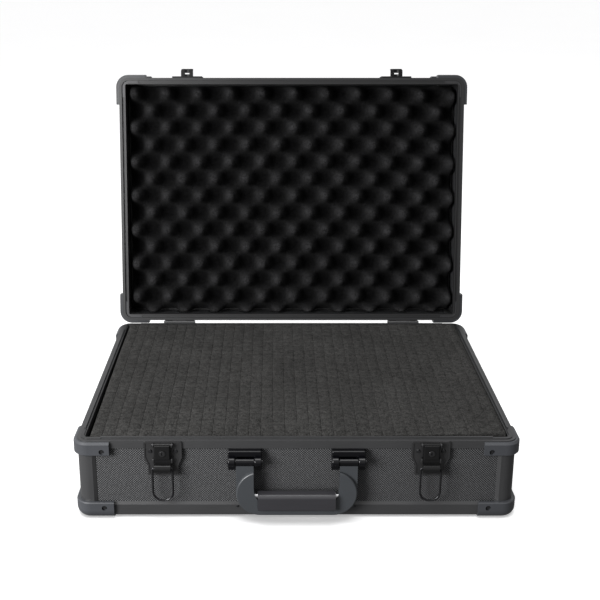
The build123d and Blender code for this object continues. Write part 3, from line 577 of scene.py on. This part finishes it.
def paint_corners():
    """Plastic corners of both halves."""
    finish = {"grain_size": 0.8 * MM, "grain_depth": 0.025 * MM}
    base_corner = satin("corner_mould", CORNER_COLOUR, 0.36, **finish)
    # The lid's corners take a darker copy of the base's colour: painted shade.
    lid_shaded_colour = shade(CORNER_COLOUR, LID_CORNER_PAINTED_SHADE)
    lid_corner = satin("lid_corner_mould_painted_shade", lid_shaded_colour, 0.33, **finish)
    base_pieces = ["base_rim_corners", "base_foot_corners"]
    lid_pieces = ["lid_rim_corners", "lid_cap_corners"]
    paint(base_corner, *base_pieces)
    paint(lid_corner, *lid_pieces)
    ease_edges(0.6 * MM, *base_pieces, *lid_pieces)


def paint_fasteners():
    """Keys between the rims, rivets and pins."""
    key = satin("joiner_plate", (0.05, 0.05, 0.052), 0.4, 0.6 * MM, 0.02 * MM, metal=0.6)
    paint(key, "base_rim_joiners", "lid_rim_joiners")
    rivet = satin("rivet_head", (0.035, 0.035, 0.037), 0.3, 0.4 * MM, 0.01 * MM, metal=0.7)
    paint(rivet, "base_rivets", "lid_rivets")
    pin = satin("pin_black", (0.02, 0.02, 0.022), 0.18, 0.4 * MM, 0.008 * MM, metal=0.5)
    paint(pin, "handle_pins", "hinge_pins", "latch_pins")


def paint_latches():
    """Latch and hinge plates, levers, catches, wire loops and locks."""
    plates = ["latch_plate_left", "latch_plate_right"]
    levers = ["latch_lever_left", "latch_lever_right"]
    plate = satin("plate_steel", (0.02, 0.0198, 0.0205), 0.28, 0.7 * MM, 0.012 * MM)
    paint(plate, *plates, "hinge_base_leaves", "hinge_lid_leaves")
    lever = satin("lever_steel", (0.007, 0.007, 0.0072), 0.15, 0.7 * MM, 0.01 * MM, shine=0.25)
    paint(lever, *levers)
    ease_edges(0.3 * MM, *plates, *levers)
    catch = satin("catch_steel", (0.003, 0.003, 0.0033), 0.45, 0.7 * MM, 0.02 * MM, shine=0.2)
    paint(catch, "latch_catch_left", "latch_catch_right")
    wire = satin("wire_steel", (0.03, 0.03, 0.032), 0.22, 0.5 * MM, 0.01 * MM, metal=0.8)
    paint(wire, "latch_loop_left", "latch_loop_right")
    lock = satin("lock_plug", (0.03, 0.03, 0.031), 0.3, 0.4 * MM, 0.01 * MM, metal=0.6)
    paint(lock, "lock_plug_left", "lock_plug_right")


def paint_handle():
    """Handle, its rod and grip, and the brackets it hangs from."""
    black = (0.002, 0.002, 0.0028)
    bracket = satin("bracket_enamel", black, 0.12, 1.0 * MM, 0.008 * MM, shine=0.35)
    paint(bracket, "handle_bracket_left", "handle_bracket_right", "handle_barrels")
    rod = satin("rod_steel", (0.6, 0.6, 0.61), 0.22, 0.4 * MM, 0.01 * MM, metal=1.0)
    paint(rod, "handle_rod")
    arms = satin("handle_mould", (0.034, 0.037, 0.041), 0.38, 0.7 * MM, 0.025 * MM)
    paint(arms, "handle_frame")
    rubber = (0.021, 0.0205, 0.0235)
    grip = satin("grip_mould", rubber, 0.4, 0.9 * MM, 0.04 * MM, streak=X_AXIS)
    paint(grip, "handle_grip")


# ---------------------------------------------------------------------------
# Floor, light and camera


def studio_floor():
    """A wide pale floor, bright enough to burn out to white away from the case."""
    corners = [
        (-FLOOR_HALF, -FLOOR_HALF, 0),
        (FLOOR_HALF, -FLOOR_HALF, 0),
        (FLOOR_HALF, FLOOR_HALF, 0),
        (-FLOOR_HALF, FLOOR_HALF, 0),
    ]
    data = bpy.data.meshes.new("studio_floor")
    data.from_pydata(corners, [], [(0, 1, 2, 3)])
    floor = bpy.data.objects.new("studio_floor", data)
    bpy.context.scene.collection.objects.link(floor)
    floor.visible_glossy = False
    floor.visible_diffuse = False
    made, tree, shader = new_material("studio_floor")
    cloud = grain(tree, FLOOR_CLOUD)
    toned = tones(tree, cloud, (0.3, (0.8, 0.8, 0.805)), (0.7, (0.82, 0.82, 0.825)))
    tree.links.new(toned, shader.inputs["Base Color"])
    shader.inputs["Roughness"].default_value = 0.8
    shader.inputs["Emission Color"].default_value = (1, 1, 1, 1)
    shader.inputs["Emission Strength"].default_value = FLOOR_GLOW
    data.materials.append(made)
    return floor


def softbox(name, at, towards, size, power):
    """A square soft light, facing a point."""
    data = bpy.data.lights.new(name, "AREA")
    data.shape = "SQUARE"
    data.size = size
    data.energy = power
    light = bpy.data.objects.new(name, data)
    bpy.context.scene.collection.objects.link(light)
    light.location = at
    light.rotation_mode = "QUATERNION"
    light.rotation_quaternion = (Vector(towards) - Vector(at)).to_track_quat("-Z", "Y")
    return light


def aim(light, floor, state):
    """Keep a light off the floor, as a studio flag does, or on the floor alone."""
    reached = bpy.data.collections.new(f"{light.name}_reach")
    reached.objects.link(floor)
    reached.collection_objects[0].light_linking.link_state = state
    light.light_linking.receiver_collection = reached


def studio_light(floor):
    """Soft surroundings, brightest above and to the left, and soft boxes."""
    world = bpy.data.worlds.new("studio")
    bpy.context.scene.world = world
    world.use_nodes = True
    tree = world.node_tree
    direction = node(tree, "TexCoord").outputs["Generated"]
    towards = {0: direction, 1: SKY_BRIGHTEST.normalized()}
    facing = node(tree, "VectorMath", towards, operation="DOT_PRODUCT").outputs["Value"]
    level = spread(tree, facing, -0.5, 0.9, SKY_LOW, SKY_HIGH)
    tree.links.new(level, tree.nodes["Background"].inputs["Strength"])
    tree.nodes["Background"].inputs["Color"].default_value = (1, 1, 1, 1)
    key = softbox("key_softbox", KEY_AT, LIT_MIDDLE, KEY_SIZE, KEY_POWER)
    aim(key, floor, "EXCLUDE")
    wash = softbox("floor_wash", WASH_AT, WASH_MIDDLE, WASH_SIZE, WASH_POWER)
    aim(wash, floor, "INCLUDE")
    softbox("top_softbox", TOP_AT, LIT_MIDDLE, TOP_SIZE, TOP_POWER)


def studio_camera():
    """The camera at the viewing angle."""
    data = bpy.data.cameras.new("camera")
    data.sensor_width = 36.0
    data.lens = CAMERA_LENS
    data.shift_x, data.shift_y = CAMERA_SHIFT
    camera = bpy.data.objects.new("camera", data)
    bpy.context.scene.collection.objects.link(camera)
    camera.location = CAMERA_AT
    camera.rotation_euler = (math.pi / 2 - CAMERA_DOWN, 0, 0)
    bpy.context.scene.camera = camera
    bpy.context.scene.view_settings.view_transform = "Standard"


for half in ("base", "lid"):
    paint_bars(half)
    paint_boards(half)
paint_corners()
paint_fasteners()
paint_latches()
paint_handle()
scored_foam()
flat_pad()
egg_crate()
studio_light(studio_floor())
studio_camera()
